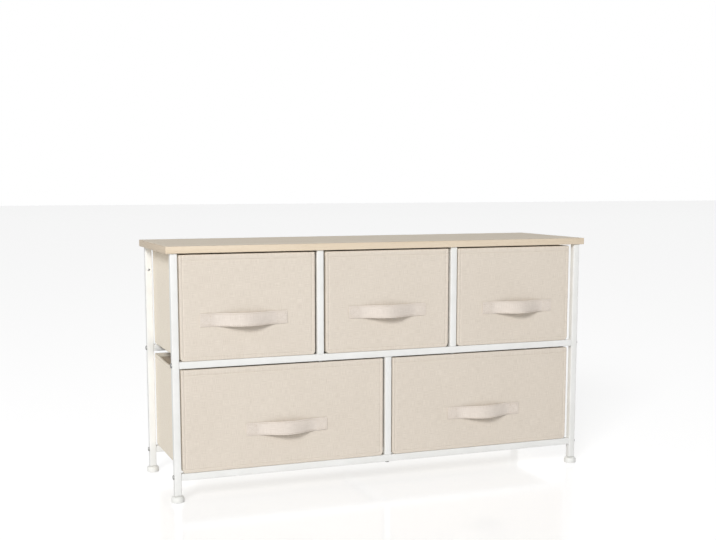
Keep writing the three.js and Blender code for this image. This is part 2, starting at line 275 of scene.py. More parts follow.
@dataclass(frozen=True)
class OakGrain(Pattern):
    """Light oak: broad bands, fine fibres and short dark pores, with the grain along X."""

    name: ClassVar[str] = "oak_grain"
    inputs: ClassVar[dict] = {"Light": COLOUR, "Dark": COLOUR, "Pore": COLOUR}
    drift_scales: Pair = (3.0, 9.0)
    drift: float = 0.035
    band_scales: Pair = (1.6, 70.0)
    fibre_scales: Pair = (22.0, 1100.0)
    pore_scales: Pair = (55.0, 1500.0)
    pore_range: Pair = (0.62, 0.76)
    pore_cover: float = 0.55
    band_tone: float = 1.5
    fibre_tone: float = 0.7
    tone_drop: float = 0.6
    roughness: float = 0.5
    pore_roughness: float = 0.25
    fibre_relief: float = 0.5

    def draw(self, graph: Graph, given: Node) -> dict:
        """Draw the grain in a graph.

        Args:
            graph: The group's graph.
            given: The group's input node; its vector is in metres.

        Returns:
            A socket for each output.
        """
        vector = given.outputs["Vector"]
        drift = graph.maths("MULTIPLY", graph.streaks(vector, self.drift_scales, 2.0), self.drift)
        split = graph.add("ShaderNodeSeparateXYZ", {0: vector}).outputs
        shifted = graph.maths("ADD", split["Y"], drift)
        bent = graph.add("ShaderNodeCombineXYZ", {"X": split["X"], "Y": shifted, "Z": split["Z"]}).outputs[0]
        bands = graph.streaks(bent, self.band_scales, 4.0)
        fibres = graph.streaks(bent, self.fibre_scales, 2.0)
        pores = graph.streaks(bent, self.pore_scales, 1.0)
        tone = graph.weighted((bands, self.band_tone), (fibres, self.fibre_tone))
        share = graph.clamped(graph.maths("SUBTRACT", tone, self.tone_drop))
        pore = graph.ranged(pores, self.pore_range, (0.0, self.pore_cover))
        base = graph.mixed(share, given.outputs["Dark"], given.outputs["Light"])
        rough = graph.maths("MULTIPLY", pore, self.pore_roughness)
        relief = graph.maths("MULTIPLY", fibres, self.fibre_relief)
        return {
            "Colour": graph.mixed(pore, base, given.outputs["Pore"]),
            "Roughness": graph.maths("ADD", self.roughness, rough),
            "Height": graph.maths("SUBTRACT", relief, pore),
        }


@dataclass(frozen=True)
class FineSkin(Pattern):
    """A moulded, sprayed or plated skin: a fine dimple, and slight clouding of tone and gloss."""

    name: ClassVar[str] = "fine_skin"
    inputs: ClassVar[dict] = {"Grain": NUMBER, "Light": COLOUR, "Dark": COLOUR, "Gloss": NUMBER}
    cloud_scale: float = 25.0
    cloud_range: Pair = (0.3, 0.7)
    cloud_gloss: float = 0.2

    def draw(self, graph: Graph, given: Node) -> dict:
        """Draw the skin in a graph.

        Args:
            graph: The group's graph.
            given: The group's input node; its vector is in metres.

        Returns:
            A socket for each output.
        """
        vector = given.outputs["Vector"]
        cloud = graph.noise(vector, self.cloud_scale, 3.0)
        share = graph.ranged(cloud, self.cloud_range)
        spread = graph.maths("MULTIPLY", graph.maths("SUBTRACT", cloud, 0.5), self.cloud_gloss)
        return {
            "Colour": graph.mixed(share, given.outputs["Dark"], given.outputs["Light"]),
            "Roughness": graph.maths("ADD", given.outputs["Gloss"], spread),
            "Height": graph.noise(vector, given.outputs["Grain"]),
        }


@dataclass(frozen=True)
class Finish:
    """A finish in two shades of one colour, with the constants that its shader takes."""

    name: str
    light: Shade
    dark: Shade
    slot: str
    bump: float = 0.2
    bump_depth: float = 0.1 * MM
    metallic: float = 0.0
    sheen: float = 0.0
    specular: float = 0.5
    pattern: ClassVar[Pattern]

    def lay(self, graph: Graph) -> Socket:
        """Return the coordinates that the pattern follows: here the piece's own lay."""
        return graph.add("ShaderNodeUVMap", uv_map=UV_NAME).outputs["UV"]

    def values(self) -> dict:
        """Return the values that the finish gives to its pattern's inputs."""
        return {"Light": linear(self.light), "Dark": linear(self.dark)}

    def material(self) -> bpy.types.Material:
        """Return the finish's material, made on first use.

        Returns:
            The material.
        """
        kept = bpy.data.materials.get(self.name)
        if kept:
            return kept
        made = bpy.data.materials.new(self.name)
        made.use_nodes = True
        graph = Graph(made.node_tree)
        inputs = {"Vector": self.lay(graph), **self.values()}
        pattern = graph.add("ShaderNodeGroup", inputs, node_tree=self.pattern.group())
        relief = graph.add(
            "ShaderNodeBump",
            {"Height": pattern.outputs["Height"], "Strength": self.bump, "Distance": self.bump_depth},
        )
        surface = {
            "Base Color": pattern.outputs["Colour"],
            "Roughness": pattern.outputs["Roughness"],
            "Normal": relief.outputs["Normal"],
            "Metallic": self.metallic,
            "Sheen Weight": self.sheen,
            "Specular IOR Level": self.specular,
        }
        graph.fill(made.node_tree.nodes["Principled BSDF"], surface)
        return made


@dataclass(frozen=True, kw_only=True)
class Cloth(Finish):
    """A woven finish."""

    slot: str = "cloth"
    bump: float = 0.5
    bump_depth: float = 0.25 * MM
    sheen: float = 0.08
    specular: float = 0.15
    pitch: float = 0.9 * MM
    pattern: ClassVar[Pattern] = LinenWeave()

    def values(self) -> dict:
        """Return the values that the finish gives to the weave."""
        return {**super().values(), "Pitch": self.pitch}


@dataclass(frozen=True, kw_only=True)
class Oak(Finish):
    """A printed wood finish."""

    slot: str = "top"
    specular: float = 0.35
    pore: Shade
    pattern: ClassVar[Pattern] = OakGrain()

    def values(self) -> dict:
        """Return the values that the finish gives to the grain."""
        return {**super().values(), "Pore": linear(self.pore)}


@dataclass(frozen=True, kw_only=True)
class Skin(Finish):
    """A moulded, sprayed or plated finish, or one too fine to show its make."""

    bump: float = 0.15
    grain: float = 1800.0
    gloss: float = 0.5
    pattern: ClassVar[Pattern] = FineSkin()

    def lay(self, graph: Graph) -> Socket:
        """Return the coordinates that the pattern follows: here the piece's object coordinates."""
        return graph.add("ShaderNodeTexCoord").outputs["Object"]

    def values(self) -> dict:
        """Return the values that the finish gives to the skin."""
        return {**super().values(), "Grain": self.grain, "Gloss": self.gloss}


LINEN = Cloth("beige_linen", (237, 227, 214), (219, 208, 194))
# Paler cloth for the outer walls and hems: partly a paler side fabric, partly painted light on the sides of
# the bins.
SIDE_LINEN_AND_PAINTED_LIGHT = Cloth("side_linen_and_painted_light", (250, 241, 226), (238, 227, 209))
# Darker cloth for the inner faces of the bins and the backs of the straps: painted shade inside the bins and
# under the straps.
PAINTED_SHADE_LINING = Cloth("lining_painted_shade", (208, 193, 173), (192, 176, 155))
STRAP = Cloth("strap_linen", (239, 229, 219), (221, 210, 199), slot="strap")
THREAD = Skin(
    "sewing_thread",
    (229, 218, 204),
    (205, 192, 176),
    "cloth",
    bump=0.3,
    specular=0.3,
    grain=2500.0,
    gloss=0.7,
)
OAK_TOP = Oak("oak_foil", (240, 228, 208), (222, 206, 182), pore=(190, 170, 142), bump=0.25)
OAK_EDGE = Oak("oak_edge_band", (240, 225, 203), (222, 203, 176), pore=(190, 168, 138))
# Darker oak for the end bands of the top: painted shade, since the real bands are alike all round.
OAK_END_PAINTED_SHADE = Oak("oak_end_band_painted_shade", (224, 209, 188), (206, 188, 163), pore=(177, 156, 128))
POWDER_COAT = Skin(
    "white_powder_coat",
    (246, 246, 244),
    (240, 240, 237),
    "frame",
    bump=0.12,
    bump_depth=0.12 * MM,
    grain=1400.0,
    gloss=0.4,
)
FOOT_PLASTIC = Skin("foot_plastic", (247, 247, 244), (241, 241, 237), "foot")
PLUG_PLASTIC = Skin("plug_plastic", (236, 236, 232), (224, 224, 219), "plug")
ZINC = Skin(
    "zinc_bolt",
    (188, 188, 186),
    (156, 156, 154),
    "bolt",
    bump=0.2,
    bump_depth=0.08 * MM,
    metallic=0.9,
    grain=2200.0,
    gloss=0.35,
)
HARDBOARD = Skin(
    "hardboard",
    (190, 168, 138),
    (160, 138, 110),
    "board",
    bump=0.4,
    bump_depth=0.2 * MM,
    specular=0.2,
    grain=700.0,
    gloss=0.75,
)


def node_box(node: str) -> tuple[Vector, Vector]:
    """Return the lowest and highest corner of a CAD node as vectors."""
    low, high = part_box(node)
    return Vector(low), Vector(high)


def runs(way: Vector, axis: Axis) -> bool:
    """Tell whether a direction runs along an axis."""
    return abs(way[axis.value]) > 0.9


def is_level(way: Vector) -> bool:
    """Tell whether a direction is level."""
    return abs(way.z) < 0.1


def looks_up(normal: Vector, side: float = 1.0) -> bool:
    """Tell whether a face looks straight up, or straight down for side -1."""
    return normal.z * side > 0.999


def arch(share: float) -> float:
    """Return 0 at both ends of a run and 1 in its middle, at a share of its length."""
    return math.sin(math.pi * min(1.0, max(0.0, share)))


def squared_off(value: float, power: float) -> float:
    """Raise a value to a power and keep its sign."""
    return math.copysign(abs(value) ** power, value)


def only(piece: Piece) -> None:
    """Leave one object selected and active.

    Args:
        piece: The object.
    """
    bpy.ops.object.select_all(action="DESELECT")
    piece.select_set(True)
    bpy.context.view_layer.objects.active = piece


def fresh(name: str, add: Callable, **settings: object) -> Piece:
    """Add a primitive, with its place in its mesh.

    Args:
        name: Name of the piece.
        add: The operator that adds the primitive.
        settings: Settings of the operator.

    Returns:
        The piece, at the origin, unturned and unscaled.
    """
    bpy.ops.object.select_all(action="DESELECT")
    add(**settings)
    piece = bpy.context.object
    piece.name = name
    piece.data.name = name
    bpy.ops.object.transform_apply(location=True, rotation=True, scale=True)
    return piece


def block(name: str, low: Vector, high: Vector) -> Piece:
    """Add a block between two corners."""
    cube = bpy.ops.mesh.primitive_cube_add
    return fresh(name, cube, size=1.0, location=(low + high) / 2, scale=high - low)


def disc(name: str, radius: float, low: float, high: float, sides: int) -> Piece:
    """Add an upright cylinder on the Z axis between two heights."""
    settings = {"radius": radius, "depth": high - low, "location": (0.0, 0.0, (low + high) / 2)}
    return fresh(name, bpy.ops.mesh.primitive_cylinder_add, vertices=sides, **settings)


def mark(piece: Piece, kind: str, chosen: Sequence[bool]) -> None:
    """Select the chosen faces or edges of a piece and leave it in edit mode.

    Args:
        piece: The piece.
        kind: FACE or EDGE.
        chosen: One truth value for each face or edge.
    """
    only(piece)
    bpy.ops.object.mode_set(mode="EDIT")
    bpy.ops.mesh.select_mode(type=kind)
    bpy.ops.mesh.select_all(action="DESELECT")
    leave_edit()
    items = piece.data.polygons if kind == "FACE" else piece.data.edges
    items.foreach_set("select", chosen)
    bpy.ops.object.mode_set(mode="EDIT")


def pick_faces(piece: Piece, test: Test) -> None:
    """Select the faces whose centre and normal pass a test, and enter edit mode."""
    mark(piece, "FACE", [test(face.center, face.normal) for face in piece.data.polygons])


def pick_edges(piece: Piece, test: Test) -> None:
    """Select the edges that pass a test, and enter edit mode.

    Args:
        piece: The piece.
        test: Tells from an edge's middle and direction whether it is wanted.
    """
    points = [vertex.co for vertex in piece.data.vertices]
    ends = [(points[edge.vertices[0]], points[edge.vertices[1]]) for edge in piece.data.edges]
    mark(piece, "EDGE", [test((a + b) / 2, (b - a).normalized()) for a, b in ends])


def pick_all(piece: Piece) -> None:
    """Enter edit mode with the whole of a piece selected.

    Args:
        piece: The piece.
    """
    only(piece)
    bpy.ops.object.mode_set(mode="EDIT")
    bpy.ops.mesh.select_all(action="SELECT")


def leave_edit() -> None:
    """Go back to object mode."""
    bpy.ops.object.mode_set(mode="OBJECT")


def draw_out(*way: float) -> None:
    """Extrude what is selected along a way."""
    bpy.ops.mesh.extrude_region_move(TRANSFORM_OT_translate={"value": way})


def rounded(piece: Piece, test: Test, width: float, steps: int) -> None:
    """Bevel edges of a piece.

    Args:
        piece: The piece.
        test: Tells from an edge's middle and direction whether it is wanted.
        width: Width of the bevel.
        steps: Number of its segments.
    """
    pick_edges(piece, test)
    bpy.ops.mesh.bevel(offset=width, segments=steps, profile=0.5, affect="EDGES")
    leave_edit()


def turned_out(piece: Piece) -> None:
    """Make every face of a closed piece point outwards.

    Args:
        piece: The piece.
    """
    pick_all(piece)
    bpy.ops.mesh.normals_make_consistent(inside=False)
    leave_edit()


def smoothed(piece: Piece, degrees: float = 32.0) -> None:
    """Shade a piece smooth, but not over edges sharper than an angle."""
    only(piece)
    bpy.ops.object.shade_smooth_by_angle(angle=math.radians(degrees))


def sliced(piece: Piece, low: Vector, high: Vector, pitch: float) -> None:
    """Cut a sheet into strips along each axis, so that it can bend.

    Args:
        piece: The sheet.
        low: Its lowest corner.
        high: Its highest corner.
        pitch: Least width of a strip.
    """
    for axis in Axis:
        span = high[axis.value] - low[axis.value]
        count = max(2, int(span / pitch))
        normal = tuple(float(axis.value == place) for place in range(3))
        for step in range(1, count):
            point = low.copy()
            point[axis.value] += span * step / count
            pick_all(piece)
            bpy.ops.mesh.bisect(plane_co=point, plane_no=normal)
            leave_edit()


def finished(piece: Piece, kind: str, **settings: object) -> None:
    """Add a modifier of one kind to a piece and apply it.

    Args:
        piece: The piece.
        kind: Blender's name of the modifier type.
        settings: Properties of the modifier.
    """
    only(piece)
    modifier = piece.modifiers.new(kind.lower(), kind)
    for key, value in settings.items():
        setattr(modifier, key, value)
    bpy.ops.object.modifier_apply(modifier=modifier.name)


def combined(piece: Piece, tool: Piece, operation: str = "DIFFERENCE") -> None:
    """Cut a tool out of a piece, or join it on, and remove the tool."""
    finished(piece, "BOOLEAN", operation=operation, object=tool, solver="EXACT")
    bpy.data.objects.remove(tool)


def moved(piece: Piece, shape: Callable[[Vector], Vector]) -> None:
    """Send every point of a piece through a function of its place.

    Args:
        piece: The piece.
        shape: Returns a point's new place.
    """
    for vertex in piece.data.vertices:
        vertex.co = shape(vertex.co)
    piece.data.update()


def linked(name: str, data: bpy.types.ID) -> Piece:
    """Make an object of a mesh, light or camera and link it to the scene.

    Args:
        name: Name of the object.
        data: What it shows.

    Returns:
        The object, at the origin.
    """
    made = bpy.data.objects.new(name, data)
    bpy.context.collection.objects.link(made)
    return made


def copied(piece: Piece, name: str, place: Matrix) -> Piece:
    """Copy a piece with a mesh of its own, moved by a matrix.

    Args:
        piece: The piece to copy.
        name: Name of the copy.
        place: Where the copy goes, written into its mesh.

    Returns:
        The copy, at the origin, unturned and unscaled.
    """
    data = piece.data.copy()
    data.name = name
    data.transform(place)
    data.update()
    return linked(name, data)


def lay_out(piece: Piece) -> None:
    """Lay the pattern on a piece in metres, square to the side that each face looks to.

    Args:
        piece: The piece.
    """
    data = piece.data
    layer = data.uv_layers.get(UV_NAME) or data.uv_layers.new(name=UV_NAME)
    for face in data.polygons:
        size = [abs(value) for value in face.normal]
        first, second = ((1, 2), (0, 2), (0, 1))[size.index(max(size))]
        for corner in face.loop_indices:
            point = data.vertices[data.loops[corner].vertex_index].co
            layer.data[corner].uv = (point[first], point[second])


def dress(piece: Piece, finish: Finish, body: str, *nodes: str) -> Piece:
    """Give a piece its lay, finish and body, and let it stand for CAD nodes.

    Args:
        piece: The piece.
        finish: Its finish.
        body: The body that it moves with.
        nodes: The CAD nodes that it replaces.

    Returns:
        The piece.
    """
    lay_out(piece)
    piece.data.materials.clear()
    piece.data.materials.append(finish.material())
    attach(piece, body)
    if nodes:
        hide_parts(*nodes)
    LOG.info("%s: %d faces on %s", piece.name, len(piece.data.polygons), body)
    return piece


def parted(piece: Piece, finishes: Sequence[Finish], choice: Callable[[Vector, Vector], int]) -> None:
    """Add finishes to a dressed piece and choose one for each face.

    Args:
        piece: The piece.
        finishes: The finishes besides its first.
        choice: Returns the number of a face's finish from its centre and normal, 0 for the first.
    """
    for finish in finishes:
        piece.data.materials.append(finish.material())
    for face in piece.data.polygons:
        face.material_index = choice(face.center, face.normal)


def repaint(node: str, finish: Finish) -> None:
    """Give a CAD node that stays in view a finish of its own.

    Args:
        node: The node.
        finish: The finish.
    """
    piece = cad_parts[node]
    piece.data.materials.clear()
    piece.data.materials.append(finish.material())
    LOG.info("%s keeps its CAD shape", node)


@dataclass
class Top:
    """The wooden top: foil above and below, and a glued band round its edges."""

    edge_round: float = 1.2 * MM
    band: float = 0.9 * MM
    seam: float = 0.25 * MM
    seam_depth: float = 0.12 * MM
    end_way: float = 0.7

    def build(self) -> None:
        """Build the top and dress it."""
        slab = block("top_board", *node_box("tabletop"))
        rounded(slab, lambda middle, way: True, self.edge_round, steps=3)
        for side in (1.0, -1.0):
            self.cut_seam(slab, side)
        smoothed(slab, degrees=25.0)
        dress(slab, OAK_TOP, "frame", "tabletop")
        # The end bands take the darker oak: painted shade on the ends of the top.
        parted(slab, (OAK_EDGE, OAK_END_PAINTED_SHADE), self.covering)

    def covering(self, centre: Vector, normal: Vector) -> int:
        """Choose the covering of a face.

        Args:
            centre: The face's centre.
            normal: The way that it looks.

        Returns:
            0 for the foil, 1 for the band of a long edge and 2 for the band of an end, whose darker oak is
            painted shade.
        """
        if runs(normal, Axis.Z):
            return 0
        return 2 if abs(normal.x) > self.end_way else 1

    def cut_seam(self, slab: Piece, side: float) -> None:
        """Press the glue line of the edge band into a face.

        Args:
            slab: The top.
            side: 1 for the upper face, -1 for the lower.
        """
        level = max(vertex.co.z * side for vertex in slab.data.vertices)
        pick_faces(slab, lambda centre, normal: looks_up(normal, side) and centre.z * side > level - MM)
        bpy.ops.mesh.inset(thickness=self.band)
        for depth in (-self.seam_depth, self.seam_depth):
            bpy.ops.mesh.inset(thickness=self.seam, depth=depth)
        leave_edit()


@dataclass
class SteelFrame:
    """The bolted frame of square tube, with its bolts, studs, plugs and hidden bars."""

    corner_round: float = 1.6 * MM
    end_round: float = 0.3 * MM
    pin: float = 6.3 * MM
    anchor_drop: float = 53.5 * MM
    anchor_radius: float = 2.6 * MM
    anchor_sides: int = 24
    wall: float = 1.2 * MM
    cavity: float = 25.0 * MM
    head_radius: float = 5.0 * MM
    head_height: float = 2.4 * MM
    head_sides: int = 32
    dome: float = 1.6 * MM
    socket_radius: float = 1.9 * MM
    socket_depth: float = 1.3 * MM
    shank_radius: float = 2.95 * MM
    washer_radius: float = 5.6 * MM
    washer: float = 0.5 * MM
    washer_round: float = 0.15 * MM
    washer_gap: float = 0.02 * MM
    tool_reach: float = 20.0 * MM

    def build(self) -> None:
        """Build every tube and bolt of the frame and dress them."""
        underside = node_box("tabletop")[0].z
        for corner in CORNERS:
            low, high = node_box(f"post_{corner}")
            post = self.tube(f"leg_{corner}", low, high, Axis.Z)
            if corner.startswith("rear"):
                centre = (low + high) / 2
                centre.z = underside - self.anchor_drop
                self.drill(post, centre)
            dress(post, POWDER_COAT, "frame", f"post_{corner}")
            repaint(f"top_stud_{corner}", ZINC)
            repaint(f"foot_plug_{corner}", PLUG_PLASTIC)
        for row in ROWS:
            for level in LEVELS:
                node = f"{level}_rail_{row}"
                dress(self.tube(f"{level}_bar_{row}", *node_box(node), Axis.X), POWDER_COAT, "frame", node)
            for node in (f"upper_divider_{row}_left", f"upper_divider_{row}_right", f"lower_divider_{row}"):
                low, high = node_box(node)
                high.z -= self.pin
                upright = self.tube(node.replace("divider", "upright"), low, high, Axis.Z)
                dress(upright, POWDER_COAT, "frame", node)
        for node in ("mid_tie_left", "mid_tie_right", "low_tie"):
            repaint(node, POWDER_COAT)
        self.build_bolts()

    def tube(self, name: str, low: Vector, high: Vector, axis: Axis) -> Piece:
        """Make one tube with rolled corners and broken end edges.

        Args:
            name: Name of the tube.
            low: Lowest corner.
            high: Highest corner.
            axis: The axis that it runs along.

        Returns:
            The tube.
        """
        piece = block(name, low, high)
        rounded(piece, lambda middle, way: runs(way, axis), self.corner_round, steps=4)
        ends = (low[axis.value], high[axis.value])
        at_end = lambda middle, way: min(abs(middle[axis.value] - end) for end in ends) < TOUCH
        rounded(piece, at_end, self.end_round, steps=1)
        smoothed(piece)
        return piece

    def drill(self, post: Piece, centre: Vector) -> None:
        """Drill the anchor hole through a rear post, and open the hollow of the tube behind it.

        Args:
            post: The post.
            centre: Where the hole crosses its middle line.
        """
        across = centre.x - post.bound_box[0][0] - self.wall
        half = Vector((across, across, self.cavity))
        combined(post, block("anchor_hollow", centre - half, centre + half))
        drill = disc("anchor_drill", self.anchor_radius, -self.tool_reach, self.tool_reach, self.anchor_sides)
        drill.data.transform(Matrix.Translation(centre) @ Matrix.Rotation(math.pi / 2, 4, "X"))
        combined(post, drill)
        smoothed(post)

    def bolt(self) -> Piece:
        """Model one button-head bolt that seats at z = 0 with its head below.

        Returns:
            The bolt, to be copied.
        """
        low, high = node_box("side_bolt_mid_front_left")
        shank = high.x - low.x - self.head_height + self.washer
        head = disc("bolt_pattern", self.head_radius, -self.head_height, -self.washer, self.head_sides)
        rounded(head, lambda middle, way: middle.z < TOUCH - self.head_height, self.dome, steps=5)
        pick_faces(head, lambda centre, normal: looks_up(normal))
        bpy.ops.mesh.inset(thickness=self.head_radius - self.shank_radius)
        draw_out(0.0, 0.0, shank)
        leave_edit()
        socket_floor = self.socket_depth - self.head_height
        combined(head, disc("socket_cut", self.socket_radius, -self.tool_reach, socket_floor, 6))
        ring = disc("washer_ring", self.washer_radius, -self.washer, -self.washer_gap, self.head_sides)
        rounded(ring, lambda middle, way: is_level(way), self.washer_round, steps=2)
        combined(head, ring, "UNION")
        smoothed(head)
        return head

    def build_bolts(self) -> None:
        """Copy the bolt to each of its places in the frame."""
        pattern = self.bolt()
        for corner in CORNERS:
            side = -1.0 if corner.endswith("left") else 1.0
            turn = Matrix.Rotation(-side * math.pi / 2, 4, "Y")
            for level in LEVELS:
                node = f"side_bolt_{level}_{corner}"
                low, high = node_box(node)
                seat = (low + high) / 2
                seat.x = low.x + self.head_height if side < 0 else high.x - self.head_height
                place = Matrix.Translation(seat) @ turn
                dress(copied(pattern, f"bolt_{level}_{corner}", place), ZINC, "frame", node)
        for row in ROWS:
            for node in (f"mid_bolt_{row}_left", f"mid_bolt_{row}_right", f"low_bolt_{row}"):
                low, high = node_box(node)
                seat = (low + high) / 2
                seat.z = low.z + self.head_height
                name = node.replace("bolt", "upright_bolt")
                dress(copied(pattern, name, Matrix.Translation(seat)), ZINC, "frame", node)
        bpy.data.objects.remove(pattern)


@dataclass
class Feet:
    """The round levelling feet: a moulded puck on a threaded stud."""

    puck: float = 13.0 * MM
    shoulder: float = 5.5 * MM
    heel: float = 1.4 * MM
    collar: float = 1.2 * MM
    collar_depth: float = 0.6 * MM
    stud_radius: float = 4.0 * MM
    thread_depth: float = 0.45 * MM
    thread_pitch: float = 1.25 * MM
    sides: int = 48

    def build(self) -> None:
        """Build one foot and copy it under each post."""
        pattern = self.model()
        for corner in CORNERS:
            node = f"foot_{corner}"
            low, high = node_box(node)
            seat = (low + high) / 2
            seat.z = low.z
            dress(copied(pattern, f"level_{node}", Matrix.Translation(seat)), FOOT_PLASTIC, node, node)
        bpy.data.objects.remove(pattern)

    def model(self) -> Piece:
        """Model one foot that stands on z = 0.

        Returns:
            The foot, to be copied.
        """
        low, high = node_box("foot_front_left")
        radius = (high.x - low.x) / 2
        top = self.puck - TOUCH
        foot = disc("foot_pattern", radius, 0.0, self.puck, self.sides)
        rounded(foot, lambda middle, way: middle.z > top and is_level(way), self.shoulder, steps=6)
        rounded(foot, lambda middle, way: middle.z < TOUCH and is_level(way), self.heel, steps=3)
        pick_faces(foot, lambda centre, normal: looks_up(normal) and centre.z > top)
        bpy.ops.mesh.inset(thickness=radius - self.shoulder - self.stud_radius - self.collar)
        bpy.ops.mesh.inset(thickness=self.collar, depth=-self.collar_depth)
        self.cut_thread(high.z - low.z - self.puck)
        leave_edit()
        smoothed(foot, degrees=40.0)
        return foot

    def cut_thread(self, length: float) -> None:
        """Draw the stud up from the selected face, narrowed and widened once for each turn.

        Args:
            length: Length of the stud.
        """
        turns = int(length / self.thread_pitch)
        thin = (self.stud_radius - self.thread_depth) / self.stud_radius
        for share in (thin, 1 / thin) * turns:
            draw_out(0.0, 0.0, length / turns / 2)
            bpy.ops.transform.resize(value=(share, share, 1.0))


def lying(spot: Vector, along: Vector, outward: Vector) -> Matrix:
    """Return the place of a stitch at a spot, with X along it and Z the way that the cloth looks."""
    side = outward.cross(along).normalized()
    return Matrix.Translation(spot) @ Matrix((along, side, outward)).transposed().to_4x4()


@dataclass(frozen=True)
class Sewing:
    """The stitches that every seam is sewn with."""

    pitch: float = 3.6 * MM
    length: float = 2.7 * MM
    thick: float = 0.45 * MM
    round_share: float = 0.3
    way_share: float = 0.05

    def count(self, length: float) -> int:
        """Return how many stitches a row of a length takes."""
        return max(1, int(length / self.pitch))

    def shares(self, length: float) -> list[float]:
        """Return the share of a row's length at the middle of each stitch."""
        count = self.count(length)
        return [(step + 0.5) / count for step in range(count)]

    def sewn(self, name: str, places: Sequence[Matrix]) -> Piece:
        """Copy one rounded stitch to many places as a single piece.

        Args:
            name: Name of the piece.
            places: Where each stitch lies.

        Returns:
            The piece.
        """
        half = Vector((self.length / 2, self.thick / 2, self.thick / 2))
        stitch = block("stitch_pattern", -half, half)
        rounded(stitch, lambda middle, way: not runs(way, Axis.X), self.thick * self.round_share, steps=1)
        points = np.array([(*vertex.co, 1.0) for vertex in stitch.data.vertices])
        faces = [list(face.vertices) for face in stitch.data.polygons]
        bpy.data.objects.remove(stitch)
        every = [(points @ np.array(place).T)[:, :3] for place in places]
        starts = [step * len(points) for step in range(len(places))]
        joined = [[index + start for index in face] for start in starts for face in faces]
        data = bpy.data.meshes.new(name)
        data.from_pydata(np.concatenate(every).tolist(), [], joined)
        data.update()
        piece = linked(name, data)
        smoothed(piece, degrees=60.0)
        return piece


SEWING = Sewing()


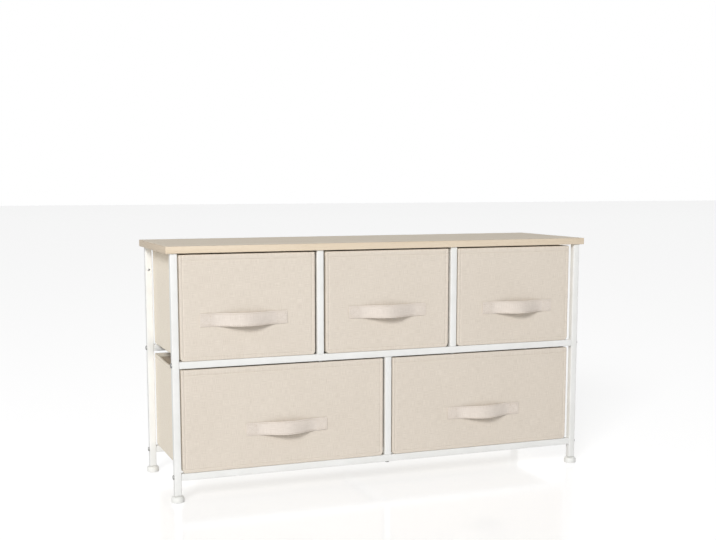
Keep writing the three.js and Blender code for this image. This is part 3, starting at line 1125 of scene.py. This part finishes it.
@dataclass
class Bin:
    """One cloth bin: boarded front, thin sides, back and floor, bound rim, stitches and strap."""

    name: str
    front: float = 4.8 * MM
    wall: float = 2.2 * MM
    edge_round: float = 1.7 * MM
    edge_steps: tuple[float, ...] = (0.0, 0.25, 0.55, 0.8, 1.0)
    foot_corner: float = 8.0 * MM
    head_corner: float = 2.0 * MM
    rear_corner: float = 6.0 * MM
    floor_round: float = 7.0 * MM
    seam_inset: float = 7.0 * MM
    seam_width: float = 1.5 * MM
    seam_depth: float = 0.5 * MM
    seam_steps: tuple[float, ...] = (-0.6, -0.25, 0.0, 0.25, 0.6)
    top_seam: float = 11.5 * MM
    line_margin: float = 4.0 * MM
    line_pitch: float = 6.0 * MM
    line_gap: float = 2.0 * MM
    strip_pitch: float = 14.0 * MM
    hem: float = 9.0 * MM
    hem_proud: float = 0.6 * MM
    hem_cover: float = 0.5 * MM
    side_sag: float = 5.0 * MM
    rear_sag: float = 3.0 * MM
    rear_drop: float = 3.0 * MM
    upper_slack: float = 0.15
    lower_slack: float = 1.0
    side_reach: float = 12.0 * MM
    wave: float = 0.9 * MM
    wave_fullness: float = 0.7
    wave_rise: float = 4.0
    side_cell: float = 90.0 * MM
    side_lean: float = 0.35
    rear_cell: float = 100.0 * MM
    front_wave: float = 0.35 * MM
    front_cell: float = 110.0 * MM
    fine_cell: float = 45.0 * MM
    fine_share: float = 0.4
    fine_shift: float = 3.0
    calm_reach: float = 25.0 * MM
    seed_spread: Pair = (7.0, 5.0)
    row_rise: float = 2.2 * MM
    row_start: float = 4.0 * MM
    row_end: float = 8.0 * MM
    head_row_end: float = 3.0 * MM
    stitch_stand: float = 0.1
    stitch_ahead: float = 0.01

    def __post_init__(self) -> None:
        """Read the bin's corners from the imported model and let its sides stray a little."""
        self.low, self.high = node_box(f"{self.name}_bin")
        self.seed = Vector((self.low.x * self.seed_spread[0], self.low.z * self.seed_spread[1], 0.0))
        self.low.x -= FITS[self.name].left_edge
        self.high.x += FITS[self.name].right_edge
        self.slack = self.upper_slack if self.name.startswith("upper") else self.lower_slack
        self.body = f"drawer_{self.name}"

    def build(self) -> None:
        """Build the bin's pieces and dress them."""
        dress(self.front_panel(), LINEN, self.body, f"{self.name}_bin")
        # The walls and the hem take the paler side cloth: partly a paler fabric, partly painted light.
        walls = dress(self.shell(), SIDE_LINEN_AND_PAINTED_LIGHT, self.body)
        middle = (self.low + self.high) / 2
        # Faces that look into the bin take the darker cloth: painted shade inside the bin.
        parted(walls, (PAINTED_SHADE_LINING,), lambda centre, normal: int((middle - centre).dot(normal) > 0))
        dress(self.rim(), SIDE_LINEN_AND_PAINTED_LIGHT, self.body)
        dress(self.stitching(), THREAD, self.body)
        repaint(f"{self.name}_board", HARDBOARD)
        Strap(self.name, self.body).build()

    def ripple(self, first: float, second: float, cell: float) -> float:
        """Return soft uneven relief, about -1 to 1, at a place on the cloth, with swells of a size."""
        return noise.noise(Vector((first / cell, second / cell, 0.0)) + self.seed)

    def edge_lines(self, low: float, high: float, seams: Sequence[float]) -> list[float]:
        """Return places across a panel, close together at its rounded edges and at its seams.

        Args:
            low: Where the panel starts.
            high: Where it ends.
            seams: The places of its seams.

        Returns:
            The places in order.
        """
        near = [share * self.edge_round for share in self.edge_steps]
        lines = [low + step for step in near] + [high - step for step in near]
        for seam in seams:
            lines += [seam + share * self.seam_width for share in self.seam_steps]
        count = int((high - low) / self.line_pitch)
        open_run = np.linspace(low + self.line_margin, high - self.line_margin, count)
        lines += [place for place in open_run if min(abs(place - line) for line in lines) > self.line_gap]
        return sorted(lines)

    def groove(self, away: float) -> float:
        """Return the depth of a pressed seam at a distance from its line."""
        share = abs(away) / self.seam_width / self.seam_steps[-1]
        return self.seam_depth * max(0.0, 1.0 - share**2)

    def panel_depth(self, x: float, z: float) -> float:
        """Return how far the front's face lies behind its foremost plane at a place.

        Args:
            x: Place across the front.
            z: Height.

        Returns:
            The depth in metres.
        """
        side_edge = min(x - self.low.x, self.high.x - x)
        foot_edge = z - self.low.z
        head_edge = self.high.z - z
        edge = min(side_edge, foot_edge, head_edge)
        share = max(0.0, 1.0 - max(edge, 0.0) / self.edge_round)
        depth = self.edge_round * (1.0 - math.sqrt(1.0 - share * share))
        if foot_edge > self.seam_inset:
            depth += self.groove(side_edge - self.seam_inset)
        if side_edge > self.seam_inset:
            depth += self.groove(foot_edge - self.seam_inset)
        depth += self.groove(head_edge - self.top_seam) / 2
        calm = min(1.0, max(0.0, edge - self.seam_inset) / self.calm_reach)
        fine = self.ripple(x + self.fine_shift, z, self.fine_cell)
        swell = self.ripple(x, z, self.front_cell) + self.fine_share * fine
        return depth + calm * self.front_wave * (1.0 + swell)

    def corner_turned(self, x: float, z: float) -> Pair:
        """Bend the square corners of the front into round ones.

        Args:
            x: Place across the front.
            z: Height.

        Returns:
            The place after bending.
        """
        side = -1.0 if x < (self.low.x + self.high.x) / 2 else 1.0
        level = -1.0 if z < (self.low.z + self.high.z) / 2 else 1.0
        radius = self.foot_corner if level < 0 else self.head_corner
        corner_x = (self.low.x if side < 0 else self.high.x) - side * radius
        corner_z = (self.low.z if level < 0 else self.high.z) - level * radius
        over_x = (x - corner_x) * side
        over_z = (z - corner_z) * level
        if over_x <= 0.0 or over_z <= 0.0:
            return x, z
        share = max(over_x, over_z) / math.hypot(over_x, over_z)
        return corner_x + side * over_x * share, corner_z + level * over_z * share

    def front_panel(self) -> Piece:
        """Make the boarded front with its rounded edges, pressed seams and soft swell.

        Returns:
            The front panel, closed all round.
        """
        low, high = self.low, self.high
        xs = self.edge_lines(low.x, high.x, (low.x + self.seam_inset, high.x - self.seam_inset))
        zs = self.edge_lines(low.z, high.z, (low.z + self.seam_inset, high.z - self.top_seam))
        cells = {"x_subdivisions": len(xs) - 1, "y_subdivisions": len(zs) - 1}
        panel = fresh(f"{self.name}_front", bpy.ops.mesh.primitive_grid_add, size=1.0, **cells)
        for vertex in panel.data.vertices:
            x = xs[round((vertex.co.x + 0.5) * (len(xs) - 1))]
            z = zs[round((vertex.co.y + 0.5) * (len(zs) - 1))]
            depth = self.panel_depth(x, z)
            x, z = self.corner_turned(x, z)
            vertex.co = Vector((x, low.y + depth, z))
        pick_all(panel)
        bpy.ops.mesh.region_to_loop()
        draw_out(0.0, self.front, 0.0)
        leave_edit()
        for vertex in panel.data.vertices:
            if vertex.select:
                vertex.co.y = low.y + self.front
        bpy.ops.object.mode_set(mode="EDIT")
        bpy.ops.mesh.edge_face_add()
        leave_edit()
        turned_out(panel)
        smoothed(panel, degrees=50.0)
        return panel

    def shaped(self, point: Vector) -> Vector:
        """Let a point of the straight walls sag and swell as the cloth does.

        Args:
            point: A point on the straight bin.

        Returns:
            Its place on the soft bin.
        """
        width, depth, tall = (high - low for low, high in zip(self.low, self.high))
        run_x = (point.x - self.low.x) / width
        run_y = (point.y - self.low.y) / depth
        height = (point.z - self.low.z) / tall
        top = self.slack * max(0.0, height) ** 2
        spread = self.wave * min(1.0, height * self.wave_rise)
        made = point.copy()
        made.z -= self.rear_drop * min(1.0, max(0.0, run_y)) * top
        if min(run_x, 1.0 - run_x) * width < self.side_reach:
            swell = self.ripple(point.y, point.z, self.side_cell) - self.side_lean
            side = 1.0 if run_x > 0.5 else -1.0
            made.z -= self.side_sag * arch(run_y) ** 2 * top
            made.x += side * spread * swell * arch(run_y) ** self.wave_fullness
        if (1.0 - run_y) * depth < self.side_reach:
            swell = self.ripple(point.x, point.z, self.rear_cell)
            made.z -= self.rear_sag * arch(run_x) ** 2 * top
            made.y += spread * swell * arch(run_x) ** self.wave_fullness
        return made

    def open_walls(self, name: str, low_z: float, high_z: float, floor: bool) -> Piece:
        """Make the walls behind the front as one soft sheet, open at the top.

        Args:
            name: Name of the sheet.
            low_z: Height of its lower edge.
            high_z: Height of its upper edge.
            floor: Whether it has a floor.

        Returns:
            The sheet, without thickness.
        """
        low = Vector((self.low.x, self.low.y + self.front, low_z))
        high = Vector((self.high.x, self.high.y, high_z))
        walls = block(name, low, high)
        at_rear = lambda middle, way: runs(way, Axis.Z) and middle.y > high.y - MM
        rounded(walls, at_rear, self.rear_corner, steps=4)
        open_sides = (1.0,) if floor else (1.0, -1.0)
        pick_faces(walls, lambda centre, normal: any(looks_up(normal, side) for side in open_sides))
        bpy.ops.mesh.delete(type="FACE")
        leave_edit()
        if floor:
            at_floor = lambda middle, way: middle.z < low_z + TOUCH and is_level(way)
            rounded(walls, at_floor, self.floor_round, steps=5)
        sliced(walls, low, high, self.strip_pitch)
        moved(walls, self.shaped)
        return walls

    def shell(self) -> Piece:
        """Make the sides, back, inner front and floor as one thin sewn shell.

        Returns:
            The shell.
        """
        walls = self.open_walls(f"{self.name}_walls", self.low.z, self.high.z - self.hem_cover, True)
        finished(walls, "SOLIDIFY", thickness=self.wall, offset=-1.0, use_even_offset=True)
        smoothed(walls, degrees=45.0)
        return walls

    def rim(self) -> Piece:
        """Make the folded hem that binds the rim of the sides, the back and the inner front.

        Returns:
            The hem.
        """
        band = self.open_walls(f"{self.name}_hem", self.high.z - self.hem, self.high.z, False)
        thick = self.wall + 2 * self.hem_proud
        share = 2 * self.hem_proud / thick - 1.0
        finished(band, "SOLIDIFY", thickness=thick, offset=share, use_even_offset=True)
        smoothed(band, degrees=45.0)
        return band

    def stitching(self) -> Piece:
        """Sew the rows of stitches on the hem and along the head of the front.

        Returns:
            The stitches as one piece.
        """
        low, high, proud = self.low, self.high, self.hem_proud
        level = high.z - self.hem + self.row_rise
        front, rear = low.y + self.front + self.row_start, high.y - self.row_end
        places = []
        for x, outward in ((low.x - proud, LEFT), (high.x + proud, RIGHT)):
            places += self.hem_row(Vector((x, front, level)), Vector((x, rear, level)), outward)
        ends = (low.x + self.row_end, high.x - self.row_end)
        places += self.hem_row(*(Vector((x, high.y + proud, level)) for x in ends), REAR)
        ends = (low.x + self.head_row_end, high.x - self.head_row_end)
        places += self.front_row(*(Vector((x, 0, high.z - self.top_seam)) for x in ends))
        return SEWING.sewn(f"{self.name}_stitches", places)

    def hem_row(self, start: Vector, end: Vector, outward: Vector) -> list[Matrix]:
        """Place the stitches of one row on the soft hem.

        Args:
            start: Where the row starts on the straight bin.
            end: Where it ends.
            outward: The way that the cloth looks.

        Returns:
            The place of each stitch.
        """
        places = []
        for share in SEWING.shares((end - start).length):
            here = self.shaped(start.lerp(end, share))
            ahead = self.shaped(start.lerp(end, min(1.0, share + self.stitch_ahead)))
            spot = here + outward * SEWING.thick * self.stitch_stand
            places.append(lying(spot, (ahead - here).normalized(), outward))
        return places

    def front_row(self, start: Vector, end: Vector) -> list[Matrix]:
        """Place the stitches of one row on the face of the front.

        Args:
            start: Where the row starts; its Y is taken from the cloth.
            end: Where it ends.

        Returns:
            The place of each stitch.
        """
        places = []
        for share in SEWING.shares((end - start).length):
            spot = start.lerp(end, share)
            spot.y = self.low.y + self.panel_depth(spot.x, spot.z)
            places.append(lying(spot, (end - start).normalized(), FRONT))
        return places


@dataclass
class Strap:
    """The strap handle: a folded strip that lies flat at its sewn tabs and bows out between."""

    name: str
    body: str
    tab: float = 24.0 * MM
    thick: float = 2.2 * MM
    pressed: float = 0.6
    bow: float = 14.8 * MM
    fullness: float = 0.9
    droop: float = 0.3 * MM
    lean: float = 0.34
    face_flatness: float = 0.55
    edge_flatness: float = 0.7
    edge_start: float = 0.8
    edge_thinning: float = 0.28
    back_way: float = 0.3
    sides: int = 28
    rings: int = 84
    seam_inset: float = 2.6 * MM
    row_end: float = 1.5 * MM
    box_end: float = 3.0 * MM
    box_gap: float = 1.0 * MM
    box_drop: float = 2.5 * MM
    stitch_stand: float = 0.02 * MM

    def __post_init__(self) -> None:
        """Read the strap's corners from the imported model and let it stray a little."""
        self.fit = FITS[self.name]
        low, high = node_box(f"{self.name}_handle")
        self.back = high.y
        self.centre = (low + high) / 2 + Vector((self.fit.strap_shift, 0.0, self.fit.strap_lift))
        self.half_length = (high.x - low.x) / 2 + self.fit.strap_growth
        self.half_width = (high.z - low.z) / 2

    def build(self) -> None:
        """Build the strap and its stitches and dress them."""
        strip = dress(self.strip(), STRAP, self.body, f"{self.name}_handle")
        # Faces that look back to the front take the darker cloth: painted shade under the strap.
        parted(strip, (PAINTED_SHADE_LINING,), lambda centre, normal: int(normal.y > self.back_way))
        dress(self.stitches(), THREAD, self.body)

    def rise(self, along: float) -> float:
        """Return the share of the bow's height at a distance from the strap's middle."""
        share = min(1.0, abs(along - self.fit.bow_slip) / (self.half_length - self.tab))
        return ((1.0 + math.cos(math.pi * share)) / 2) ** self.fullness

    def thickness(self, along: float) -> float:
        """Return the strap's thickness at a distance from its middle; the sewn tabs are pressed flat."""
        return self.thick * (self.pressed + (1.0 - self.pressed) * self.rise(along))

    def bend(self, along: float, across: float, out: float) -> Vector:
        """Carry a place on the flat strap to its place on the bowed one.

        Args:
            along: Distance from the middle of the strap, to the right.
            across: Distance above the strap's middle line.
            out: Distance in front of the strap's back.

        Returns:
            The place in the frame.
        """
        rise = self.rise(along)
        stand = self.bow * rise * (1.0 - self.lean * across / self.half_width)
        level = self.centre.z + across - self.droop * rise
        return Vector((self.centre.x + along, self.back - stand - out, level))

    def strip(self) -> Piece:
        """Make the strap from a round bar that is cut into rings, pressed flat and bent.

        Returns:
            The strap.
        """
        settings = {"radius": 1.0, "depth": 2.0, "rotation": (0.0, math.pi / 2, 0.0)}
        bar = bpy.ops.mesh.primitive_cylinder_add
        strip = fresh(f"{self.name}_strap", bar, vertices=self.sides, **settings)
        pick_edges(strip, lambda middle, way: runs(way, Axis.X))
        bpy.ops.mesh.subdivide(number_cuts=self.rings)
        leave_edit()
        moved(strip, self.section)
        turned_out(strip)
        smoothed(strip, degrees=50.0)
        return strip

    def section(self, place: Vector) -> Vector:
        """Press a point of the round bar into the flat strap and bend it.

        Args:
            place: A point of a bar of radius 1 and half length 1 along X.

        Returns:
            Its place on the strap.
        """
        angle = math.atan2(place.z, place.y)
        share = squared_off(math.sin(angle), self.face_flatness)
        along = place.x * self.half_length
        half = self.thickness(along) / 2
        out = -squared_off(math.cos(angle), self.edge_flatness) * half
        edge = max(0.0, (abs(share) - self.edge_start) / (1.0 - self.edge_start))
        return self.bend(along, share * self.half_width, half + out * (1.0 - self.edge_thinning * edge))

    def face_row(self, start: Pair, end: Pair) -> list[Matrix]:
        """Place a row of stitches on the strap's face.

        Args:
            start: Start of the row, along and across the strap.
            end: End of the row.

        Returns:
            The place of each stitch.
        """
        run = (end[0] - start[0], end[1] - start[1])
        count = SEWING.count(math.hypot(*run))
        places = []
        for step in range(count):
            spots = []
            for way_share in (-SEWING.way_share, SEWING.way_share):
                share = (step + 0.5 + way_share) / count
                along, across = (first + span * share for first, span in zip(start, run))
                spots.append(self.bend(along, across, self.thickness(along) + self.stitch_stand))
            way = (spots[1] - spots[0]).normalized()
            upright = Vector((0, 0, math.copysign(1, way.x)))
            outward = FRONT if runs(way, Axis.Z) else way.cross(upright)
            places.append(lying((spots[0] + spots[1]) / 2, way, way.cross(outward.cross(way)).normalized()))
        return places

    def stitches(self) -> Piece:
        """Sew both long edges of the strap and a crossed box on each tab.

        Returns:
            The stitches as one piece.
        """
        edge = self.half_width - self.seam_inset
        reach = self.half_length - self.row_end
        outer = self.half_length - self.box_end
        inner = self.half_length - self.tab + self.box_gap
        tall = edge - self.box_drop
        rows = [((-reach, level), (reach, level)) for level in (edge, -edge)]
        for side in (-1.0, 1.0):
            box = [(side * outer, tall), (side * inner, tall), (side * inner, -tall), (side * outer, -tall)]
            rows += [*zip(box, box[1:] + box[:1]), (box[0], box[2]), (box[1], box[3])]
        places = [place for start, end in rows for place in self.face_row(start, end)]
        return SEWING.sewn(f"{self.name}_strap_stitches", places)


@dataclass
class Studio:
    """The pale floor, the soft light and the camera."""

    image_width: float = 716.0
    focal_pixels: float = 1130.3
    rise_pixels: float = 60.0
    sensor: float = 36.0
    stand: tuple[float, float, float] = (-0.968, -2.4629, 0.67943)
    turn: float = -0.36836
    tilt: float = -0.13132
    key_energy: float = 270.0
    key_size: float = 1.7
    key_place: tuple[float, float, float] = (-3.55, -4.75, 3.4)
    level_light: float = 0.6
    zenith_light: float = 0.05
    floor_size: float = 60.0
    floor_drop: float = 0.5 * MM
    floor_grey: float = 0.42
    floor_roughness: float = 0.9
    floor_glow: float = 0.8
    floor_bounce: float = 0.27
    floor_sheen: float = 0.2
    sheen_roughness: float = 0.12

    def build(self) -> None:
        """Build the floor, the lights and the camera."""
        low, high = node_box("tabletop")
        self.middle = Vector((0.0, (low.y + high.y) / 2, low.z / 2))
        self.floor()
        self.key_light()
        self.surround()
        self.camera()
        view = bpy.context.scene.view_settings
        view.view_transform = "Standard"
        view.look = "None"

    def floor(self) -> None:
        """Lay a wide pale floor under the dresser."""
        place = (0.0, 0.0, -self.floor_drop)
        floor = fresh("studio_floor", bpy.ops.mesh.primitive_plane_add, size=self.floor_size, location=place)
        paint = bpy.data.materials.new("pale_floor")
        paint.use_nodes = True
        graph = Graph(paint.node_tree)
        seen = graph.add("ShaderNodeLightPath").outputs["Is Camera Ray"]
        surface = {
            "Base Color": (self.floor_grey, self.floor_grey, self.floor_grey, 1.0),
            "Roughness": self.floor_roughness,
            "Specular IOR Level": 0.0,
            "Emission Color": WHITE,
            "Emission Strength": graph.ranged(seen, (0.0, 1.0), (self.floor_bounce, self.floor_glow)),
        }
        shader = paint.node_tree.nodes["Principled BSDF"]
        graph.fill(shader, surface)
        gloss = graph.add("ShaderNodeBsdfGlossy", {"Color": WHITE, "Roughness": self.sheen_roughness})
        layers = {0: self.floor_sheen, 1: shader.outputs[0], 2: gloss.outputs[0]}
        mix = graph.add("ShaderNodeMixShader", layers)
        graph.fill(paint.node_tree.nodes["Material Output"], {"Surface": mix.outputs[0]})
        floor.data.materials.append(paint)

    def key_light(self) -> None:
        """Hang a soft box at the front left, above the dresser."""
        lamp = bpy.data.lights.new("key_light", "AREA")
        lamp.size = self.key_size
        lamp.energy = self.key_energy
        light = linked("key_light", lamp)
        light.location = self.key_place
        light.rotation_euler = (self.middle - light.location).to_track_quat("-Z", "Y").to_euler()

    def surround(self) -> None:
        """Surround the dresser with a pale room: white where it is seen, dimmer overhead as a light."""
        world = bpy.data.worlds.new("pale_surround")
        bpy.context.scene.world = world
        world.use_nodes = True
        graph = Graph(world.node_tree)
        path = graph.add("ShaderNodeLightPath")
        seen = graph.maths("MAXIMUM", path.outputs["Is Camera Ray"], path.outputs["Is Glossy Ray"])
        way = graph.add("ShaderNodeTexCoord").outputs["Generated"]
        height = graph.add("ShaderNodeSeparateXYZ", {0: way}).outputs["Z"]
        light = graph.ranged(height, (0.0, 1.0), (self.level_light, self.zenith_light))
        strength = graph.maths("MAXIMUM", seen, light)
        graph.fill(world.node_tree.nodes["Background"], {"Color": WHITE, "Strength": strength})

    def camera(self) -> None:
        """Set the camera at the photograph's place and angle."""
        data = bpy.data.cameras.new("camera")
        data.sensor_width = self.sensor
        data.lens = self.focal_pixels * self.sensor / self.image_width
        data.shift_y = self.rise_pixels / self.image_width
        data.dof.use_dof = False
        camera = linked("camera", data)
        camera.location = Vector(self.stand) + Vector((0.0, self.middle.y, 0.0))
        camera.rotation_euler = Euler((math.pi / 2 + self.tilt, 0.0, self.turn), "XYZ")
        bpy.context.scene.camera = camera


def main() -> None:
    """Build the dresser's looks in order and note the size of the result."""
    logging.basicConfig(level=logging.INFO, format="%(name)s %(message)s")
    Top().build()
    SteelFrame().build()
    Feet().build()
    for name in DRAWERS:
        Bin(name).build()
    Studio().build()


if __name__ == "__main__":
    main()
